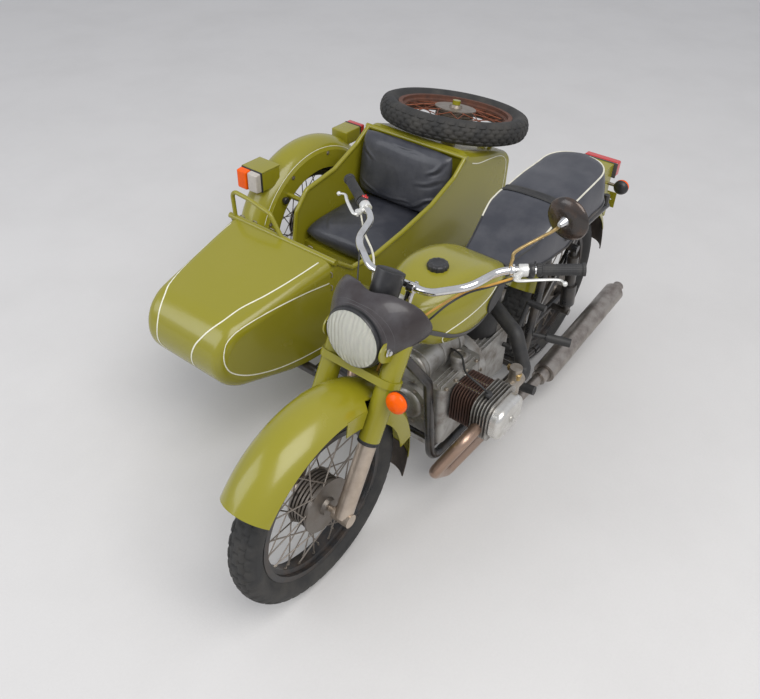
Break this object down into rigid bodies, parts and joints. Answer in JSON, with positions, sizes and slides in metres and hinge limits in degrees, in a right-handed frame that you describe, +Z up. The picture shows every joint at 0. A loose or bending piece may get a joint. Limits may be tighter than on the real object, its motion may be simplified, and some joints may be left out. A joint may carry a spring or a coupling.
{
  "type": "sidecar motorcycle",
  "caption": "Motorcycle with a flat twin engine and an open sidecar on its right, wire wheels, turning fork, boot lid that carries the spare wheel, and folding centre stand.",
  "frame": {"origin": "middle of the bounding box, on the ground", "axes": "+X forward, +Y to the rider's left, +Z up"},
  "size_m": [2.3901, 1.6306, 1.1831],
  "materials": {
    "olive_paint": "gloss",
    "black_paint": "gloss",
    "rim_enamel": "gloss",
    "tyre_rubber": "matt",
    "black_rubber": "matt",
    "seat_vinyl": "satin",
    "bright_metal": "polished",
    "bare_aluminium": "cast",
    "polished_aluminium": "polished",
    "barrel_iron": "cast",
    "plated_steel": "satin",
    "heated_steel": "satin",
    "lamp_glass": "clear",
    "lamp_plastic": "gloss",
    "indicator_plastic": "gloss",
    "black_plastic": "satin",
    "mirror_glass": "polished"
  },
  "bodies": {
    "chassis": {"main_frame": "black_paint", "swinging_arm": "black_paint", "rear_shock_absorbers": "black_paint", "crankcase": "bare_aluminium", "gearbox": "bare_aluminium", "cylinder_barrels": "barrel_iron", "cylinder_heads": "bare_aluminium", "rocker_covers": "polished_aluminium", "pushrod_tubes": "bright_metal", "carburettors": "plated_steel", "air_cleaner": "black_rubber", "exhaust_system": "heated_steel", "final_drive": "plated_steel", "fuel_tank": "olive_paint", "filler_cap": "black_plastic", "saddle": "seat_vinyl", "rear_mudguard": "olive_paint", "tail_lamp": "lamp_plastic", "rear_indicator": "indicator_plastic", "rear_mud_flap": "black_rubber", "foot_controls": "black_rubber", "sidecar_body": "olive_paint", "sidecar_cushion": "seat_vinyl", "sidecar_backrest": "seat_vinyl", "grab_rail": "olive_paint", "sidecar_mudguard": "olive_paint", "sidecar_lamps": "indicator_plastic", "sidecar_frame": "black_paint", "sidecar_swing_arm": "black_paint"},
    "fork": {"fork_yokes": "olive_paint", "fork_legs": "plated_steel", "fork_covers": "olive_paint", "headlamp_shell": "black_paint", "headlamp_lens": "lamp_glass", "handlebar": "bright_metal", "handlebar_grips": "black_rubber", "control_levers": "polished_aluminium", "rear_view_mirror": "mirror_glass", "instrument_pod": "black_plastic", "front_mudguard": "olive_paint", "front_mud_flap": "black_rubber", "front_indicator": "indicator_plastic"},
    "front_wheel": {"front_tyre": "tyre_rubber", "front_rim": "rim_enamel", "front_hub": "bare_aluminium"},
    "rear_wheel": {"rear_tyre": "tyre_rubber", "rear_rim": "rim_enamel", "rear_hub": "bare_aluminium"},
    "sidecar_wheel": {"sidecar_tyre": "tyre_rubber", "sidecar_rim": "rim_enamel", "sidecar_hub": "bare_aluminium"},
    "boot_lid": {"boot_lid": "olive_paint", "spare_tyre": "tyre_rubber", "spare_rim": "rim_enamel", "spare_hub": "bare_aluminium"},
    "centre_stand": {"centre_stand": "black_paint"}
  },
  "joints": [
    {"name": "steering", "type": "hinge", "parent": "chassis", "child": "fork", "pos_m": [0.55695, 0.39469, 0.79781], "axis": [-0.454, 0, 0.891], "range_deg": [-38, 38]},
    {"name": "front_wheel_spin", "type": "hinge", "parent": "fork", "child": "front_wheel", "pos_m": [0.86011, 0.39469, 0.335], "axis": [0, 1, 0], "continuous": true},
    {"name": "rear_wheel_spin", "type": "hinge", "parent": "chassis", "child": "rear_wheel", "pos_m": [-0.58989, 0.39469, 0.335], "axis": [0, 1, 0], "continuous": true},
    {"name": "sidecar_wheel_spin", "type": "hinge", "parent": "chassis", "child": "sidecar_wheel", "pos_m": [-0.34989, -0.73531, 0.335], "axis": [0, 1, 0], "continuous": true},
    {"name": "boot_lid_hinge", "type": "hinge", "parent": "chassis", "child": "boot_lid", "pos_m": [-0.93489, -0.29931, 0.701], "axis": [0, -1, 0], "range_deg": [0, 70]},
    {"name": "centre_stand_hinge", "type": "hinge", "parent": "chassis", "child": "centre_stand", "pos_m": [-0.25989, 0.39469, 0.172], "axis": [0, -1, 0], "range_deg": [0, 95], "stiffness_Nm_per_rad": 3, "springref_deg": -91.67}
  ]
}
